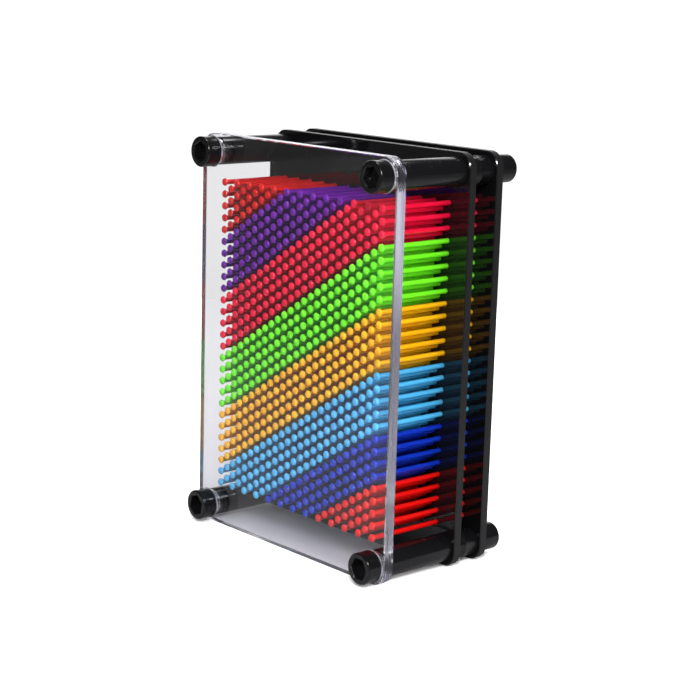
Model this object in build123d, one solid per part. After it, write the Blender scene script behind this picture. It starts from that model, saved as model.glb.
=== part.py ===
from build123d import *
from math import acos, degrees
import os

# Pin art impression toy: three plates held apart by four corner screws, with a field of sliding pins.
# X runs across the toy, Y from its front to its back and Z up. The origin is under the middle of the toy,
# on the surface that its three plates stand on. All sizes are in millimetres.

# Plates
plate_width = 127.0
plate_height = 178.0
plate_corner_radius = 7.0
plate_edge_chamfer = 0.4
clear_plate_thickness = 5.4
grid_plate_thickness = 4.0

# Corner screws: each one passes through the plates and spacer tubes into a cap nut at the back
screw_spacing_x = 112.0
screw_spacing_z = 162.0
screw_head_diameter = 13.6
screw_head_waist = 12.9
screw_head_length = 7.4
screw_head_edge = 0.6
screw_foot_diameter = 14.3
screw_foot_thickness = 0.3
screw_shoulder_diameter = 11.0
screw_shoulder_gap = 0.1
screw_shaft_diameter = 6.0
screw_clearance = 0.3
hex_socket_across_flats = 8.2
hex_socket_depth = 5.0
long_spacer_length = 35.7
short_spacer_length = 11.8
spacer_diameter = 12.4
spacer_collar_diameter = 13.0
spacer_collar_length = 1.6
cap_nut_diameter = 12.0
cap_nut_length = 10.1
cap_nut_edge = 0.8
cap_nut_bore_depth = 7.0
thread_clearance = 0.05
screw_end_gap = 0.8

# Pins: columns are staggered by half a pitch, and each pin slides in a hole of both grid plates
column_count = 25
pins_in_even_column = 27
pin_pitch = 5.32
column_spacing = 4.3
pin_field_drop = 1.6
pin_head_diameter = 3.6
pin_head_thickness = 1.9
pin_shaft_diameter = 2.3
pin_tip_chamfer = 0.45
pin_tail_beyond_plate = 2.0
pin_hole_clearance = 0.25
pin_head_gap = 0.1

# The coloured stripes, from the top left corner of the field, with how many diagonals of pins each one has
stripes = [
    ("top_red", 5),
    ("purple", 5),
    ("crimson", 5),
    ("green", 5),
    ("orange", 5),
    ("light_blue", 5),
    ("dark_blue", 4),
    ("bottom_red", 5),
]

# Places along Y, from the front of the screw heads to the back of the cap nuts
total_depth = (
    screw_head_length
    + clear_plate_thickness
    + long_spacer_length
    + grid_plate_thickness
    + short_spacer_length
    + grid_plate_thickness
    + cap_nut_length
)
clear_front = screw_head_length - total_depth / 2
clear_back = clear_front + clear_plate_thickness
front_grid_front = clear_back + long_spacer_length
front_grid_back = front_grid_front + grid_plate_thickness
rear_grid_front = front_grid_back + short_spacer_length
rear_grid_back = rear_grid_front + grid_plate_thickness

centre_height = plate_height / 2
screw_hole_diameter = screw_shaft_diameter + 2 * screw_clearance
shoulder_hole_diameter = screw_shoulder_diameter + 2 * screw_clearance
pin_hole_diameter = pin_shaft_diameter + 2 * pin_hole_clearance
head_centre = clear_back + pin_head_gap + pin_head_thickness / 2
tail_end = rear_grid_back + pin_tail_beyond_plate

corners = {
    "bottom_left": (-screw_spacing_x / 2, centre_height - screw_spacing_z / 2),
    "bottom_right": (screw_spacing_x / 2, centre_height - screw_spacing_z / 2),
    "top_left": (-screw_spacing_x / 2, centre_height + screw_spacing_z / 2),
    "top_right": (screw_spacing_x / 2, centre_height + screw_spacing_z / 2),
}

# Where each screw's socket happened to stop when it was tightened, in degrees
socket_turns = {"bottom_left": 18, "bottom_right": 0, "top_left": 30, "top_right": 9}


def upright_plane(y):
    """A plane across the toy at depth y, with its own x along X and its own y up."""
    return Plane(origin=(0, y, 0), x_dir=(1, 0, 0), z_dir=(0, -1, 0))


def bar(diameter, y_start, y_end):
    """A round bar on the Y axis."""
    return Solid.make_cylinder(diameter / 2, y_end - y_start, Plane(origin=(0, y_start, 0), z_dir=(0, 1, 0)))


def pin_diagonals():
    """The (x, z) places of the pins, one list for each diagonal, from the top left corner."""
    top = centre_height - pin_field_drop + pin_pitch * (pins_in_even_column - 1) / 2
    diagonals = {}
    for column in range(column_count):
        x = (column - (column_count - 1) / 2) * column_spacing
        for half_step in range(column % 2, 2 * pins_in_even_column - 1, 2):
            place = (x, top - half_step * pin_pitch / 2)
            diagonals.setdefault((column + half_step) // 2, []).append(place)
    return [diagonals[number] for number in sorted(diagonals)]


def make_plate(front, thickness, holes):
    """A plate with rounded corners, chamfered edges and round holes given as (x, z, diameter)."""
    plane = upright_plane(front)
    outline = plane * Pos(0, centre_height) * RectangleRounded(plate_width, plate_height, plate_corner_radius)
    rings = [Wire([Edge.make_circle(size / 2, plane.shift_origin((x, front, z)))]) for x, z, size in holes]
    slab = Solid.extrude(Face(outline.wire(), rings), Vector(0, thickness, 0))
    return slab.chamfer(plate_edge_chamfer, None, slab.edges().filter_by(on_outline))


def on_outline(edge):
    """Whether an edge runs round its plate, and isn't a hole's circle or a line through the plate."""
    return not edge.is_closed and edge.bounding_box().size.Y < plate_edge_chamfer


def make_screw(socket_turn):
    """A screw on the Y axis: a round, slightly waisted head with a turned hex socket and a thin foot, a
    shoulder that fills the clear plate's hole, and a plain shaft."""
    head_front = clear_front - screw_head_length
    foot_front = clear_front - screw_foot_thickness
    radius = screw_head_diameter / 2
    middle = (screw_head_waist / 2, (head_front + screw_head_edge + foot_front) / 2)
    side = ThreePointArc((radius, head_front + screw_head_edge), middle, (radius, foot_front))
    front = Polyline((0, foot_front), (0, head_front), (radius - screw_head_edge, head_front), side @ 0)
    head = revolve(make_face([front, side, Line(side @ 1, front @ 0)]), Axis.Y)
    hexagon = RegularPolygon(hex_socket_across_flats / 2, 6, major_radius=False, rotation=socket_turn)
    socket = extrude(upright_plane(head_front) * hexagon, amount=-hex_socket_depth)
    foot = bar(screw_foot_diameter, foot_front, clear_front)
    shoulder = bar(screw_shoulder_diameter, clear_front, clear_back - screw_shoulder_gap)
    shaft_end = rear_grid_back + cap_nut_bore_depth - screw_end_gap
    return head + foot + shoulder + bar(screw_shaft_diameter, clear_front, shaft_end) - socket


def make_spacer(start, length, collar_length=0):
    """A spacer tube, with a low collar at its front end if it has one."""
    body = bar(spacer_diameter, start, start + length)
    if collar_length:
        body += bar(spacer_collar_diameter, start, start + collar_length)
    return body - bar(screw_hole_diameter, start, start + length)


def make_cap_nut():
    """The blind nut at the back, which closes the screw's end."""
    end = rear_grid_back + cap_nut_length
    body = bar(cap_nut_diameter, rear_grid_back, end)
    body = chamfer(body.edges().group_by(Axis.Y)[-1], cap_nut_edge)
    bore_diameter = screw_shaft_diameter + 2 * thread_clearance
    return body - bar(bore_diameter, rear_grid_back, rear_grid_back + cap_nut_bore_depth)


def make_pin():
    """A pin on the Y axis, revolved in one piece: a domed head, flattened along the axis, on a slim shaft."""
    head_radius = pin_head_diameter / 2
    shaft_radius = pin_shaft_diameter / 2
    dome_sweep = 90 + degrees(acos(shaft_radius / head_radius))
    centre = (0, head_centre)
    dome = EllipticalCenterArc(centre, head_radius, pin_head_thickness / 2, -90, arc_size=dome_sweep)
    tip_start = (shaft_radius, tail_end - pin_tip_chamfer)
    tip = (shaft_radius - pin_tip_chamfer, tail_end)
    shaft = Polyline(dome @ 1, tip_start, tip, (0, tail_end), dome @ 0)
    return revolve(make_face([dome, shaft]), Axis.Y).solid()


def write(shape, name):
    export_step(shape, f"parts/{name}.step")


os.makedirs("parts", exist_ok=True)

diagonals = pin_diagonals()
screw_holes = [(x, z, screw_hole_diameter) for x, z in corners.values()]
shoulder_holes = [(x, z, shoulder_hole_diameter) for x, z in corners.values()]
pin_holes = [(x, z, pin_hole_diameter) for diagonal in diagonals for x, z in diagonal]

write(make_plate(clear_front, clear_plate_thickness, shoulder_holes), "clear_front_plate")
write(make_plate(front_grid_front, grid_plate_thickness, screw_holes + pin_holes), "front_grid_plate")
write(make_plate(rear_grid_front, grid_plate_thickness, screw_holes + pin_holes), "rear_grid_plate")

for corner, (x, z) in corners.items():
    fittings = {
        "corner_screw": make_screw(socket_turns[corner]),
        "long_spacer": make_spacer(clear_back, long_spacer_length),
        "short_spacer": make_spacer(front_grid_back, short_spacer_length, spacer_collar_length),
        "cap_nut": make_cap_nut(),
    }
    for fitting, shape in fittings.items():
        write(Pos(x, 0, z) * shape, f"{fitting}_{corner}")

pin = make_pin()
remaining = iter(diagonals)
for stripe, diagonal_count in stripes:
    for number in range(1, diagonal_count + 1):
        pins = [Pos(x, 0, z) * pin for x, z in next(remaining)]
        write(Compound(pins), f"{stripe}_pins_{number}")
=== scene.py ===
import math

import bpy
import numpy as np
from mathutils import Matrix, Vector


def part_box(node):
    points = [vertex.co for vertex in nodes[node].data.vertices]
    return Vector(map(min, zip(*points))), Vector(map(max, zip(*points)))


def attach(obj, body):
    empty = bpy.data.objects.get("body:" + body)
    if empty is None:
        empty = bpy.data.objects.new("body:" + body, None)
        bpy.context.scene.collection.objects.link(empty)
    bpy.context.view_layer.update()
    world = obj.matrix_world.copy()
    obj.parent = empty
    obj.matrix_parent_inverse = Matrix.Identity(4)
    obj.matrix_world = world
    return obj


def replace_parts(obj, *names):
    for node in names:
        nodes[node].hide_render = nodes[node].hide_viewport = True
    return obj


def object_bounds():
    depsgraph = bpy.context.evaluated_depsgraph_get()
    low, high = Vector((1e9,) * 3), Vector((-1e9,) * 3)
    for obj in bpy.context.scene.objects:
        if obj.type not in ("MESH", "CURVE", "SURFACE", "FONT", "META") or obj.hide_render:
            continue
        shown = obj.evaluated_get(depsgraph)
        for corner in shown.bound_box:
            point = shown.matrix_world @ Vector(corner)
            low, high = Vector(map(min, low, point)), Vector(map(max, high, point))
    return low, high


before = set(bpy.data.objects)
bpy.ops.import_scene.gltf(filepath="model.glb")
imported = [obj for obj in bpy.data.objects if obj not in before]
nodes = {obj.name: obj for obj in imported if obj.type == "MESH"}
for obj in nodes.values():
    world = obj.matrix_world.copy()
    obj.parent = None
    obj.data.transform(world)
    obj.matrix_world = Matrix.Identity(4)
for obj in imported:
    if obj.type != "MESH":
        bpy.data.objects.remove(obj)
cadBox = [list(corner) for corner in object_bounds()]
middle = (Vector(cadBox[0]) + Vector(cadBox[1])) / 2
print("frame loaded:", len(nodes), "nodes")


class Value:
    # wraps a socket, so that sums in Python add their Math nodes
    def __init__(self, shader, socket):
        self.shader = shader
        self.socket = socket

    def math(self, operation, *values):
        return self.shader.add("ShaderNodeMath", {"operation": operation}, dict(enumerate(values)))

    def __add__(self, other):
        return self.math("ADD", self, other)

    def __radd__(self, other):
        return self.math("ADD", other, self)

    def __sub__(self, other):
        return self.math("SUBTRACT", self, other)

    def __rsub__(self, other):
        return self.math("SUBTRACT", other, self)

    def __mul__(self, other):
        return self.math("MULTIPLY", self, other)

    def __rmul__(self, other):
        return self.math("MULTIPLY", other, self)

    def abs(self):
        return self.math("ABSOLUTE", self)

    def ramp(self, low, high):
        # 0 below low, 1 above high, smooth between them
        return self.shader.add("ShaderNodeMapRange", {"interpolation_type": "SMOOTHSTEP"},
                               {"Value": self, "From Min": low, "From Max": high})


class Shader:
    # the node tree of one material, or of the world
    def __init__(self, owner):
        owner.use_nodes = True
        self.owner = owner
        self.tree = owner.node_tree
        self.tree.nodes.clear()

    def add(self, kind, settings=None, sockets=None, output=0):
        # a node of that kind: its settings are set first, then its sockets take values or links
        node = self.tree.nodes.new(kind)
        for name, value in (settings or {}).items():
            setattr(node, name, value)
        for name, value in (sockets or {}).items():
            socket = node.inputs[name] if isinstance(name, int) else self.shown(node.inputs, name)
            if isinstance(value, Value):
                self.tree.links.new(value.socket, socket)
            else:
                socket.default_value = value
        found = node.outputs[output] if isinstance(output, int) else self.shown(node.outputs, output)
        return Value(self, found) if found else node

    def shown(self, sockets, name):
        # the socket of that name which the node's settings leave in use
        return next(socket for socket in sockets if socket.name == name and not socket.is_unavailable)

    def noise(self, place, scale, detail=3.0, roughness=0.5):
        return self.add("ShaderNodeTexNoise", None,
                        {"Vector": place, "Scale": scale, "Detail": detail, "Roughness": roughness}, "Fac")

    def stretched(self, place, scale):
        # the place with each of its axes scaled, to draw a pattern out along one of them
        return self.add("ShaderNodeVectorMath", {"operation": "MULTIPLY"}, {0: place, 1: scale})

    def colourMix(self, factor, first, second):
        return self.add("ShaderNodeMix", {"data_type": "RGBA"},
                        {"Factor": factor, "A": first, "B": second}, "Result")

    def bump(self, height, strength, distance):
        return self.add("ShaderNodeBump", None,
                        {"Height": height, "Strength": strength, "Distance": distance})

    def finishWith(self, surface):
        output = self.tree.nodes.new("ShaderNodeOutputMaterial")
        self.tree.links.new(surface.socket, output.inputs["Surface"])
        return self.owner


def newShader(name):
    return Shader(bpy.data.materials.new(name))


def edgeMask(shader):
    # 1 on a plate's cut edges and in its holes, 0 on its two faces, which look along Y
    normal = shader.add("ShaderNodeTexCoord", None, None, "Normal")
    across = shader.add("ShaderNodeSeparateXYZ", None, {"Vector": normal}, "Y")
    return 1 - across.abs().ramp(0.35, 0.95)


def paint(names, material):
    for name in names:
        for slot in nodes[name].material_slots:
            slot.material = material



clearPlate = {
    "faceTint": (0.87, 0.87, 0.885, 1),
    "edgeTint": (0.66, 0.65, 0.77, 1),
    "edgeRoughness": 0.2,
    "streakTint": (0.42, 0.39, 0.55, 1),
    "shadowTint": (0.84, 0.84, 0.86, 1),    # of light that falls through it
    "haze": 0.012,
    "refraction": 1.49,
}

blackPlate = {
    "faceColour": (0.0035, 0.0035, 0.004, 1),
    "edgeColour": (0.006, 0.0055, 0.006, 1),
    "edgeLight": (0.010, 0.009, 0.0095, 1),
    "faceRoughness": 0.035,
    "smear": 0.05,
    "edgeRoughness": 0.34,
}


def clearAcrylic():
    # polished faces with a little haze; saw-cut edges, frosted and streaked along the cut
    shader = newShader("clearAcrylic")
    place = shader.add("ShaderNodeTexCoord", None, None, "Object")
    edge = edgeMask(shader)
    streaks = shader.noise(shader.stretched(place, (14, 420, 14)), 1, 2, 0.5)
    cloud = shader.noise(place, 26, 2)
    edgeColour = shader.colourMix(streaks.ramp(0.38, 0.66), clearPlate["edgeTint"], clearPlate["streakTint"])
    colour = shader.colourMix(edge, clearPlate["faceTint"], edgeColour)
    hazy = cloud.ramp(0.5, 0.8) * clearPlate["haze"]
    roughness = hazy + edge * (clearPlate["edgeRoughness"] + 0.12 * streaks)
    normal = shader.bump(streaks * edge, 0.12, 0.0002)
    glass = shader.add("ShaderNodeBsdfPrincipled", None, {
        "Base Color": colour, "Roughness": roughness, "Normal": normal,
        "IOR": clearPlate["refraction"], "Transmission Weight": 1.0})
    clear = shader.add("ShaderNodeBsdfTransparent", None, {"Color": clearPlate["shadowTint"]})
    shadowRay = shader.add("ShaderNodeLightPath", None, None, "Is Shadow Ray")
    return shader.finishWith(shader.add("ShaderNodeMixShader", None, {0: shadowRay, 1: glass, 2: clear}))


def blackAcrylic():
    # glossy faces with faint smears and hairline scratches; dull edges with the marks of the cut
    shader = newShader("blackAcrylic")
    place = shader.add("ShaderNodeTexCoord", None, None, "Object")
    edge = edgeMask(shader)
    cuts = shader.noise(shader.stretched(place, (900, 60, 900)), 1, 2, 0.6)
    smears = shader.noise(shader.stretched(place, (30, 30, 12)), 1, 4, 0.55)
    scratches = shader.noise(shader.stretched(place, (2200, 40, 90)), 1, 1)
    edgeColour = shader.colourMix(cuts, blackPlate["edgeColour"], blackPlate["edgeLight"])
    colour = shader.colourMix(edge, blackPlate["faceColour"], edgeColour)
    polished = blackPlate["faceRoughness"] + smears.ramp(0.5, 0.85) * blackPlate["smear"]
    roughness = polished + edge * (blackPlate["edgeRoughness"] + 0.1 * cuts)
    normal = shader.bump(edge * cuts + scratches.ramp(0.7, 0.8) * 0.05, 0.2, 0.0002)
    return shader.finishWith(shader.add("ShaderNodeBsdfPrincipled", None, {
        "Base Color": colour, "Roughness": roughness, "Normal": normal, "IOR": 1.49}))


paint(["clear_front_plate"], clearAcrylic())
paint(["front_grid_plate", "rear_grid_plate"], blackAcrylic())
print("plates painted")


def turnedFaces(rings, segments, closed):
    # the faces of one turned shape: quads between neighbouring rings, and either a fan to a pole at
    # each end, or a last band of quads back to the first ring
    ring = np.arange(rings - (not closed))[:, None]
    segment = np.arange(segments)[None, :]
    start = 0 if closed else 1
    here = start + ring * segments + segment
    beside = start + ring * segments + (segment + 1) % segments
    there = start + (ring + 1) % rings * segments + segment
    across = start + (ring + 1) % rings * segments + (segment + 1) % segments
    faces = np.stack([here, there, across, beside], -1).reshape(-1, 4).tolist()
    if closed:
        return faces
    first = 1 + np.arange(segments)
    last = first + (rings - 1) * segments
    turn = np.roll(np.arange(segments), -1)
    front = np.stack([np.zeros(segments, int), first, first[turn]], -1)
    back = np.stack([np.full(segments, 1 + rings * segments), last[turn], last], -1)
    return faces + front.tolist() + back.tolist()


def turnedPoints(profile, segments, poles, turn=0.0):
    # a shape turned about Y: ring k stands at y = profile[k, 0], and its radius at an angle is
    # profile[k, 1] times 1 for a circle or 1 / cos(angle from the nearest flat) for a hexagon,
    # shared by profile[k, 2]; poles are the y of the two end points, if it has them
    profile = np.asarray(profile, float)
    angle = turn + np.arange(segments) * 2 * np.pi / segments
    fromFlat = (angle - turn) % (np.pi / 3) - np.pi / 6
    sixSided = profile[:, 2:3]
    radius = profile[:, 1:2] * (1 - sixSided + sixSided / np.cos(fromFlat))
    y = np.broadcast_to(profile[:, 0:1], radius.shape)
    rings = np.stack([radius * np.cos(angle), y, radius * np.sin(angle)], -1).reshape(-1, 3)
    ends = np.array([[0, y, 0] for y in poles], float).reshape(-1, 3)
    return np.concatenate([ends[:1], rings, ends[1:]])


def arc(centre, radius, start, end, steps):
    # rows of a profile along a quarter of rounding: centre (y, r), angles in degrees from +Y to outward
    angle = np.radians(np.linspace(start, end, steps))
    return np.stack([centre[0] + radius * np.cos(angle), centre[1] + radius * np.sin(angle),
                     np.zeros(steps)], -1)


def newPiece(name, points, faces, material, creaseAngle):
    mesh = bpy.data.meshes.new(name)
    mesh.from_pydata(points.tolist(), [], faces)
    mesh.polygons.foreach_set("use_smooth", np.ones(len(faces), bool))
    mesh.set_sharp_from_angle(angle=math.radians(creaseAngle))
    mesh.materials.append(material)
    piece = bpy.data.objects.new(name, mesh)
    bpy.context.scene.collection.objects.link(piece)
    return piece



fittings = {
    "colour": (0.0045, 0.0045, 0.0052, 1),
    "worn": (0.010, 0.010, 0.0105, 1),
    "roughness": 0.17,
    "grain": 0.09,
    "segments": 96,
    "crease": 32,                # degrees, above which an edge is drawn sharp
}

screw = {
    "socketAcross": 0.0082,
    "socketDepth": 0.0050,
    "socketChamfer": 0.00035,
    "rim": 0.0008,
    "waist": 0.00012,
    "foot": 0.0004,
    "headLength": 0.0071,
    "headRadius": 0.0068,
    "shoulderRadius": 0.0055,
    "shoulderGap": 0.0001,
    "shaftRadius": 0.0030,
    "turns": {"bottom_left": 18, "bottom_right": 0, "top_left": 30, "top_right": 9},
}

footRing = {
    "radius": 0.0070,
    "thickness": 0.0002,
    "boreRadius": 0.0056,
    "rounding": 0.00009,
    # painted highlight: the thin washer's pale colour stands in for the bright rim of light at each head's
    # foot
    "highlightTint": (0.42, 0.41, 0.47, 1),
    "roughness": 0.2,
}

spacer = {
    "boreRadius": 0.0033,
    "rounding": 0.0003,
    "collarLength": 0.0016,
    "collarHeight": 0.0003,
    "ringHeight": 0.00022,
    "ringPitch": 0.0010,
    "rings": 3,
}

capNut = {
    "boreRadius": 0.00305,
    "boreDepth": 0.0070,
    "rounding": 0.0012,
    "dimple": 0.0006,
    "dimpleRadius": 0.0032,
}


def mouldedBlack():
    # semi-gloss moulded plastic: fine grain, slight flow marks, and rubbed spots that scatter more
    shader = newShader("mouldedBlack")
    place = shader.add("ShaderNodeTexCoord", None, None, "Object")
    grain = shader.noise(place, 2600, 2, 0.6)
    flow = shader.noise(shader.stretched(place, (160, 45, 160)), 1, 3)
    rubbed = shader.noise(place, 240, 4, 0.6).ramp(0.56, 0.78)
    colour = shader.colourMix(rubbed * 0.6, fittings["colour"], fittings["worn"])
    roughness = fittings["roughness"] + fittings["grain"] * flow + 0.12 * rubbed
    normal = shader.bump(grain * 0.6 + flow, 0.12, 0.0001)
    return shader.finishWith(shader.add("ShaderNodeBsdfPrincipled", None, {
        "Base Color": colour, "Roughness": roughness, "Normal": normal, "IOR": 1.5}))


def paleHighlightRing():
    # cloudy pale plastic, lighter and darker in patches round the ring; its paleness is a painted highlight,
    # the bright rim seen where each head meets the clear plate
    shader = newShader("paleHighlightRing")
    place = shader.add("ShaderNodeTexCoord", None, None, "Object")
    patch = shader.noise(place, 330, 2)
    dim = tuple(channel * 0.45 for channel in footRing["highlightTint"][:3]) + (1,)
    return shader.finishWith(shader.add("ShaderNodeBsdfPrincipled", None, {
        "Base Color": shader.colourMix(patch.ramp(0.4, 0.62), dim, footRing["highlightTint"]),
        "Roughness": footRing["roughness"] + 0.1 * patch, "IOR": 1.49}))


def screwShape(low, high, turn):
    # from the socket's floor out over the rim, along the waisted side, and down the shoulder that
    # fills the clear plate's hole to the shaft's end
    front, end = low.y, high.y
    radius, shoulder, shaft = screw["headRadius"], screw["shoulderRadius"], screw["shaftRadius"]
    back = front + screw["headLength"]
    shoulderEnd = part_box("clear_front_plate")[1].y - screw["shoulderGap"]
    apothem = screw["socketAcross"] / 2
    floor = front + screw["socketDepth"]
    chamfer, rim, foot = screw["socketChamfer"], screw["rim"], screw["foot"]
    socket = [(floor, apothem * 0.9, 1), (floor - 0.0002, apothem, 1), (front + chamfer, apothem, 1),
              (front, apothem + chamfer, 0.9)]
    y = np.linspace(front + rim, back - foot, 9)[1:-1]
    along = (y - front - rim) / (back - foot - front - rim)
    side = np.stack([y, radius - screw["waist"] * np.sin(np.pi * along), np.zeros(7)], -1)
    stem = [(back, shoulder, 0), (shoulderEnd - 0.0002, shoulder, 0), (shoulderEnd, shoulder - 0.0002, 0),
            (shoulderEnd, shaft, 0), (end - 0.0005, shaft, 0), (end, shaft - 0.0005, 0)]
    profile = np.concatenate([
        socket, arc((front + rim, radius - rim), rim, 180, 90, 7), side,
        arc((back - foot, radius - foot), foot, 90, 0, 4), stem])
    return turnedPoints(profile, fittings["segments"], (floor, end), math.radians(turn)), len(profile)


def footRingShape():
    # a thin washer with rounded rims, between the head and the clear plate
    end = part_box("clear_front_plate")[0].y
    start = end - footRing["thickness"]
    radius, rounding = footRing["radius"], footRing["rounding"]
    profile = np.concatenate([
        [(end, footRing["boreRadius"], 0), (start, footRing["boreRadius"], 0)],
        arc((start + rounding, radius - rounding), rounding, 180, 0, 7)])
    return turnedPoints(profile, fittings["segments"], ()), len(profile)


def spacerShape(low, high, ringed):
    # a tube with rounded rims; a ringed one has a collar and fine rings at its front end
    start, end = low.y, high.y
    collar = spacer["collarHeight"] if ringed else 0.0
    radius = (high.x - low.x) / 2 - collar
    bore, rounding = spacer["boreRadius"], spacer["rounding"]
    wide = radius + collar
    rows = [[(end, bore, 0), (start, bore, 0)],
            arc((start + rounding, wide - rounding), rounding, 180, 90, 4)]
    if ringed:
        foot = start + spacer["collarLength"]
        y = np.linspace(foot + 0.0001, foot + spacer["rings"] * spacer["ringPitch"], 8 * spacer["rings"] + 1)
        wave = spacer["ringHeight"] * np.sin(np.pi * (y - y[0]) / spacer["ringPitch"]) ** 2
        rows += [[(foot - 0.0001, wide, 0)], np.stack([y, radius + wave, np.zeros(len(y))], -1)]
    rows += [arc((end - rounding, radius - rounding), rounding, 90, 0, 4)]
    profile = np.concatenate(rows)
    return turnedPoints(profile, fittings["segments"], ()), len(profile)


def capNutShape(low, high):
    # a blind nut: its bore at the front, a rounded back edge and a shallow dimple in its end
    start, end = low.y, high.y
    radius = (high.x - low.x) / 2
    rounding, bore = capNut["rounding"], capNut["boreRadius"]
    depth = start + capNut["boreDepth"]
    ring = capNut["dimpleRadius"]
    profile = np.concatenate([
        [(depth, bore, 0), (start, bore, 0)], arc((start + 0.0003, radius - 0.0003), 0.0003, 180, 90, 4),
        arc((end - rounding, radius - rounding), rounding, 90, 0, 8),
        [(end, ring + 0.0003, 0), (end - 0.0002, ring, 0), (end - capNut["dimple"], ring - 0.0008, 0)]])
    return turnedPoints(profile, fittings["segments"], (depth, end - capNut["dimple"])), len(profile)


def addFitting(name, node, shape, closed, material):
    points, rings = shape
    low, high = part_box(node)
    points = points + np.array([(low.x + high.x) / 2, 0, (low.z + high.z) / 2])
    faces = turnedFaces(rings, fittings["segments"], closed)
    piece = newPiece(name, points, faces, material, fittings["crease"])
    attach(piece, "frame")
    return piece


def addFittings():
    black = mouldedBlack()
    pale = paleHighlightRing()
    for corner, turn in screw["turns"].items():
        screwNode, longNode = f"corner_screw_{corner}", f"long_spacer_{corner}"
        shortNode, nutNode = f"short_spacer_{corner}", f"cap_nut_{corner}"
        made = {
            screwNode: (screwShape(*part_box(screwNode), turn), False),
            longNode: (spacerShape(*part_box(longNode), False), True),
            shortNode: (spacerShape(*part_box(shortNode), True), True),
            nutNode: (capNutShape(*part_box(nutNode)), False),
        }
        for node, (shape, closed) in made.items():
            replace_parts(addFitting(f"{node}_turned", node, shape, closed, black), node)
        # a thin washer under each head, painted pale as a highlight
        addFitting(f"foot_ring_{corner}", screwNode, footRingShape(), True, pale)
    print("fittings turned")


addFittings()


pin = {
    "headRadius": 0.0018,
    "headThickness": 0.0019,
    "shaftRadius": 0.00115,
    "fullness": 0.74,            # of the dome: 1 is an ellipse, less is squarer at the rim
    "tipChamfer": 0.00045,
    "segments": 9,
    "crease": 55,
    "subsurface": 0.8,
    "subsurfaceScale": 0.0022,
    "columns": 25,
    "rowsInEvenColumn": 27,
    "leanMiddle": 0.00245,       # the y it leans about: what its guide holes hold at half its travel
    "slack": 0.00004,            # how far a pin may sit off its hole's middle
    "lean": 0.0024,              # seeded side lean, as a slope; with the droop it must fit the holes
    "droop": 0.0035,             # how steeply the heads hang, as a slope
    "droopSpread": 0.0020,
    "setBack": 0.00014,
    "seed": 11,
}

pinColours = {
    "top_red": (0.52, 0.006, 0.006),
    "purple": (0.125, 0.006, 0.27),
    "crimson": (0.76, 0.005, 0.045),
    "green": (0.17, 0.84, 0.018),
    "orange": (0.92, 0.44, 0.005),
    "light_blue": (0.075, 0.42, 0.74),
    "dark_blue": (0.003, 0.030, 0.44),
    "bottom_red": (0.72, 0.004, 0.003),
}


def pinPlastic(name, colour):
    # glossy, slightly translucent coloured plastic: every pin a shade of its own, and a little cloudy
    shader = newShader(name)
    place = shader.add("ShaderNodeTexCoord", None, None, "Object")
    tone = shader.add("ShaderNodeAttribute", {"attribute_name": "tone"}, None, "Fac")
    cloud = shader.noise(place, 420, 3, 0.55)
    shade = tone * 0.7 + cloud * 0.3
    deep = tuple(channel * 0.86 for channel in colour) + (1,)
    pale = tuple(min(channel * 1.1 + 0.004, 1) for channel in colour) + (1,)
    roughness = 0.12 + 0.06 * cloud
    normal = shader.bump(shader.noise(place, 1900, 2), 0.02, 0.0001)
    return shader.finishWith(shader.add("ShaderNodeBsdfPrincipled", None, {
        "Base Color": shader.colourMix(shade, deep, pale), "Roughness": roughness, "Normal": normal,
        "IOR": 1.48, "Subsurface Weight": pin["subsurface"], "Subsurface Radius": (1, 1, 1),
        "Subsurface Scale": pin["subsurfaceScale"]}))


def pinField():
    # the places of all pins, from the box that their nodes fill: columns stand a column spacing
    # apart, odd ones half a pitch lower, and pins are grouped by diagonal, counted from the top left
    boxes = [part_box(name) for name in nodes if "_pins_" in name]
    low = np.min([list(box[0]) for box in boxes], 0)
    high = np.max([list(box[1]) for box in boxes], 0)
    column, halfStep = np.meshgrid(np.arange(pin["columns"]), np.arange(2 * pin["rowsInEvenColumn"] - 1),
                                   indexing="ij")
    used = (column + halfStep) % 2 == 0
    column, halfStep = column[used], halfStep[used]
    columnSpacing = (high[0] - low[0] - 2 * pin["headRadius"]) / (pin["columns"] - 1)
    halfPitch = (high[2] - low[2] - 2 * pin["headRadius"]) / (2 * pin["rowsInEvenColumn"] - 2)
    x = low[0] + pin["headRadius"] + column * columnSpacing
    z = high[2] - pin["headRadius"] - halfStep * halfPitch
    return x, z, (column + halfStep) // 2, low[1], high[1]


def pinProfile(front, end):
    # rows (y, radius): a dome down to where it meets the shaft, then the shaft and its tip; the dome
    # is an ellipse whose sine and cosine are raised to the fullness
    radius, thickness, fullness = pin["headRadius"], pin["headThickness"], pin["fullness"]
    meet = math.degrees(math.acos((pin["shaftRadius"] / radius) ** (1 / fullness)))
    around = np.radians(np.array([-66, -38, 0, meet]))
    height = np.sign(around) * np.abs(np.sin(around)) ** fullness
    dome = np.stack([front + thickness / 2 * (1 + height), radius * np.cos(around) ** fullness,
                     np.zeros(4)], -1)
    chamfer, stem = pin["tipChamfer"], pin["shaftRadius"]
    shaft = [(end - chamfer, stem, 0), (end, stem - chamfer, 0)]
    return np.concatenate([dome, shaft])


def pinPoints(x, z, shape, random):
    # every pin's points: the shape leans about its middle, its head hanging a little, so x and z
    # shift by an offset plus a slope times the distance from that middle; it clears the holes at
    # both ends of its travel
    count = len(x)
    offset = random.uniform(-1, 1, (count, 2)) * pin["slack"]
    slope = random.normal(0, 1, (count, 2)).clip(-1.6, 1.6) * (pin["lean"] / 2, pin["droopSpread"] / 2)
    slope += (0, pin["droop"])
    back = random.uniform(0, pin["setBack"], count)
    points = np.repeat(shape[None], count, 0)
    points[:, :, 1] += back[:, None]
    away = points[:, :, 1] - pin["leanMiddle"]
    points[:, :, 0] += x[:, None] + offset[:, 0:1] + slope[:, 0:1] * away
    points[:, :, 2] += z[:, None] + offset[:, 1:2] + slope[:, 1:2] * away
    return points


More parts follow.
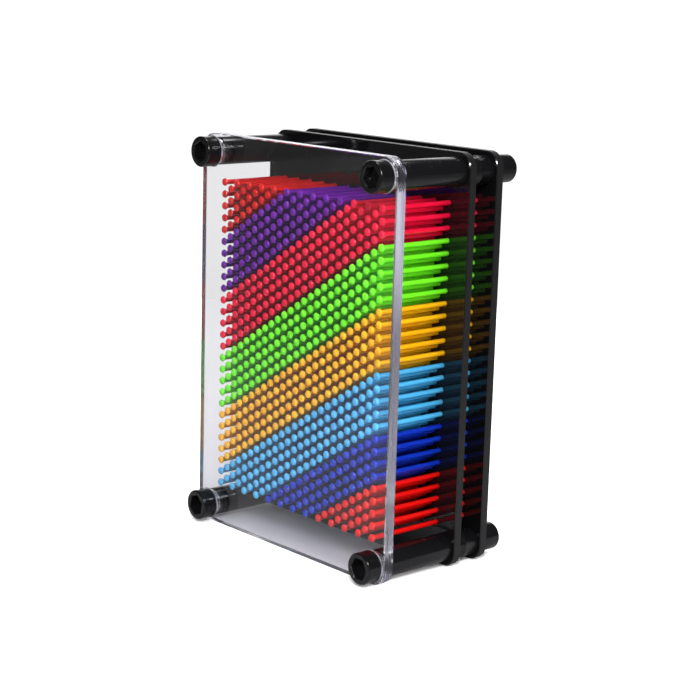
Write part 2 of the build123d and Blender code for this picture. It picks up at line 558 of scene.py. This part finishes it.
def addPins():
    # one piece for each diagonal: copies of one turned pin, the face indices shifted copy by copy
    x, z, diagonal, front, end = pinField()
    profile = pinProfile(front, end)
    shape = turnedPoints(profile, pin["segments"], (front, end))
    oneFaces = turnedFaces(len(profile), pin["segments"], False)
    quads, fans = (np.array([face for face in oneFaces if len(face) == corners]) for corners in (4, 3))
    random = np.random.default_rng(pin["seed"])
    number = 0
    for stripe, colour in pinColours.items():
        material = pinPlastic(f"{stripe}Pins", colour)
        for node in sorted((name for name in nodes if name.startswith(f"{stripe}_pins_"))):
            chosen = diagonal == number
            points = pinPoints(x[chosen], z[chosen], shape, random)
            count = len(points)
            start = np.arange(count)[:, None, None] * len(shape)
            faces = (start + quads).reshape(-1, 4).tolist() + (start + fans).reshape(-1, 3).tolist()
            piece = newPiece(f"{node}_moulded", points.reshape(-1, 3), faces, material,
                             pin["crease"])
            tone = piece.data.attributes.new("tone", "FLOAT", "POINT")
            tone.data.foreach_set("value", np.repeat(random.uniform(0, 1, count), len(shape)))
            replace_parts(piece, node)
            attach(piece, node)
            number += 1
    print("pins made:", len(x), "on", number, "slides")


addPins()


studio = {
    "floorRadius": 0.60,
    "floorLevel": -0.0002,       # just under the toy, so that the two never share a plane
    "floorColour": (0.32, 0.32, 0.33, 1),
    # painted shade: the floor's far edge is darker, as if the studio light fell off there
    "floorDistantPaintedShade": (0.10, 0.10, 0.103, 1),
    "floorNearPaintedShade": (0.66, 0.655, 0.69, 1),    # through the clear plate, darker than the far value: painted shade where the toy shades the floor
    "floorFar": (0.74, 0.74, 0.755, 1),
    "floorSeen": (1.25, 1.25, 1.25, 1),
    "backdrop": 1.12,            # what shows behind the toy
    "throughLow": 0.84,          # and what shows through the clear plate, low down and higher up
    "throughHigh": 1.02,
    "ambientLow": 0.42,          # even light on dull surfaces from all round
    "ambientHigh": 0.80,         # from above
    "ambientSide": 2.6,          # and added to both, from the toy's right
    "mirrorBright": 1.7,         # what gloss mirrors: a bright patch behind the toy
    "mirrorPatch": (0.70, 0.93),     # cosines between which that patch fades in
    "mirrorDark": 0.025,
    "mirrorLow": 0.13,           # and below the horizon beyond the floor
    "clearBounces": 36,          # light runs far inside the clear plate's edges
    "dullBounces": 12,           # and between the pins
    "lamps": {
        "key": {"azimuth": 47, "elevation": 30, "distance": 1.1, "size": 0.17, "power": 8.8},
        "overhead": {"azimuth": 200, "elevation": 70, "distance": 1.0, "size": 0.30, "power": 3.0},
    },
}

camera = {
    "azimuth": 48.14,
    "elevation": 11.9,
    "roll": 1.69,
    "distance": 0.7758,
    "lens": 90.45,
    "aim": (0.0019, 0.0012, -0.0028),    # from the middle of the object
}


def fromMiddle(azimuth, elevation):
    # the direction out from the toy: azimuth 0 is straight in front of it, 90 to its right
    a, e = math.radians(azimuth), math.radians(elevation)
    return Vector((math.sin(a) * math.cos(e), -math.cos(a) * math.cos(e), math.sin(e)))


def rayKinds(shader):
    # four switches that add up to 1: seen straight, seen through the clear plate with no mirroring on
    # the way, mirrored by gloss, and scattered by something dull
    seen = shader.add("ShaderNodeLightPath", None, None, "Is Camera Ray")
    mirrorings = shader.add("ShaderNodeLightPath", None, None, "Glossy Depth")
    scatterings = shader.add("ShaderNodeLightPath", None, None, "Diffuse Depth")
    scattered = scatterings.math("GREATER_THAN", scatterings, 0.5)
    mirrored = mirrorings.math("GREATER_THAN", mirrorings, 0.5) * (1 - scattered)
    return seen, 1 - seen - scattered - mirrored, mirrored, scattered


def addFloor():
    # a disc: rings at growing radius about the toy, on one level
    rings, segments = 24, 96
    radius = studio["floorRadius"] * np.linspace(0, 1, rings + 1)[1:]
    angle = np.arange(segments) * 2 * np.pi / segments
    ringPoints = np.stack([np.outer(radius, np.cos(angle)), np.outer(radius, np.sin(angle)),
                           np.full((rings, segments), studio["floorLevel"])], -1).reshape(-1, 3)
    points = np.concatenate([[[0, 0, studio["floorLevel"]]], ringPoints])
    ring, segment = np.arange(rings - 1)[:, None], np.arange(segments)[None, :]
    beside = (segment + 1) % segments
    quads = np.stack([1 + ring * segments + segment, 1 + (ring + 1) * segments + segment,
                      1 + (ring + 1) * segments + beside, 1 + ring * segments + beside], -1).reshape(-1, 4)
    first = 1 + np.arange(segments)
    fan = np.stack([np.zeros(segments, int), first, np.roll(first, -1)], -1)
    mesh = bpy.data.meshes.new("floor")
    mesh.from_pydata(points.tolist(), [], quads.tolist() + fan.tolist())
    shader = newShader("floorPaper")
    place = shader.add("ShaderNodeTexCoord", None, None, "Object")
    fibre = shader.noise(place, 900, 3)
    seen, through = rayKinds(shader)[:2]
    away = shader.add("ShaderNodeVectorMath", {"operation": "LENGTH"}, {0: place}, "Value")
    # painted shade: seen through the clear plate, the floor is darker near the toy, standing in for the
    # toy's shadow on it
    behindGlass = shader.colourMix(away.ramp(0.12, 0.42), studio["floorNearPaintedShade"], studio["floorFar"])
    # painted shade: for mirrored and scattered light the floor darkens towards its edge, fading it into the
    # dark room beyond
    plain = shader.colourMix(away.ramp(0.20, 0.58), studio["floorColour"], studio["floorDistantPaintedShade"])
    plain = shader.colourMix(through, plain, behindGlass)
    plain = shader.colourMix(seen, plain, studio["floorSeen"])
    colour = shader.colourMix(fibre * 0.04, plain, (0.8, 0.8, 0.8, 1))
    mesh.materials.append(shader.finishWith(shader.add("ShaderNodeBsdfDiffuse", None, {"Color": colour})))
    floor = bpy.data.objects.new("floor", mesh)
    bpy.context.scene.collection.objects.link(floor)


def lightWorld():
    # seen straight it is plain white, and a little greyer low down through the clear plate; gloss
    # mirrors a dark room with a bright patch behind the toy; everything else gets soft light,
    # more of it from above
    shader = Shader(bpy.data.worlds.new("studio"))
    bpy.context.scene.world = shader.owner
    direction = shader.add("ShaderNodeTexCoord", None, None, "Generated")
    height = shader.add("ShaderNodeSeparateXYZ", None, {"Vector": direction}, "Z")
    behind = tuple(-fromMiddle(camera["azimuth"], camera["elevation"] - 6))
    toBack = shader.add("ShaderNodeVectorMath", {"operation": "DOT_PRODUCT"},
                        {0: direction, 1: behind}, "Value")
    seen, through, mirrored, scattered = rayKinds(shader)
    patch = toBack.ramp(*studio["mirrorPatch"])
    mirror = (studio["mirrorDark"] + patch * (studio["mirrorBright"] - studio["mirrorDark"])
              + (1 - height.ramp(-0.12, -0.02)) * studio["mirrorLow"])
    toRight = shader.add("ShaderNodeSeparateXYZ", None, {"Vector": direction}, "X")
    ambient = (studio["ambientLow"] + height.ramp(0, 0.7) * (studio["ambientHigh"] - studio["ambientLow"])
               + toRight.ramp(0.35, 1) * studio["ambientSide"])
    behindGlass = (studio["throughLow"]
                   + height.ramp(-0.28, -0.12) * (studio["throughHigh"] - studio["throughLow"]))
    strength = seen * studio["backdrop"] + through * behindGlass + mirrored * mirror + scattered * ambient
    background = shader.add("ShaderNodeBackground", None, {"Color": (1, 1, 1, 1), "Strength": strength})
    output = shader.tree.nodes.new("ShaderNodeOutputWorld")
    shader.tree.links.new(background.socket, output.inputs["Surface"])


def addLamps():
    for name, lamp in studio["lamps"].items():
        light = bpy.data.lights.new(name, "AREA")
        light.shape = "DISK"
        light.size = lamp["size"]
        light.energy = lamp["power"]
        item = bpy.data.objects.new(name, light)
        item.location = middle + fromMiddle(lamp["azimuth"], lamp["elevation"]) * lamp["distance"]
        item.rotation_euler = (middle - item.location).to_track_quat("-Z", "Y").to_euler()
        item.visible_camera = False
        bpy.context.scene.collection.objects.link(item)


def addCamera():
    data = bpy.data.cameras.new("camera")
    data.lens = camera["lens"]
    data.sensor_width = 36
    data.clip_start = 0.02
    data.clip_end = 20
    item = bpy.data.objects.new("camera", data)
    bpy.context.scene.collection.objects.link(item)
    back = fromMiddle(camera["azimuth"], camera["elevation"])
    right = Vector((-back.y, back.x, 0)).normalized()
    up = back.cross(right)
    roll = math.radians(camera["roll"])
    across = right * math.cos(roll) + up * math.sin(roll)
    upward = up * math.cos(roll) - right * math.sin(roll)
    turn = Matrix((across, upward, back)).transposed().to_4x4()
    place = middle + Vector(camera["aim"]) + back * camera["distance"]
    item.matrix_world = Matrix.Translation(place) @ turn
    bpy.context.scene.camera = item


addFloor()
lightWorld()
addLamps()
addCamera()
bpy.context.scene.view_settings.view_transform = "Standard"
cycles = bpy.context.scene.cycles
cycles.max_bounces = cycles.transmission_bounces = cycles.glossy_bounces = studio["clearBounces"]
cycles.diffuse_bounces = studio["dullBounces"]
print("studio ready, denoising:", cycles.use_denoising, cycles.denoiser)
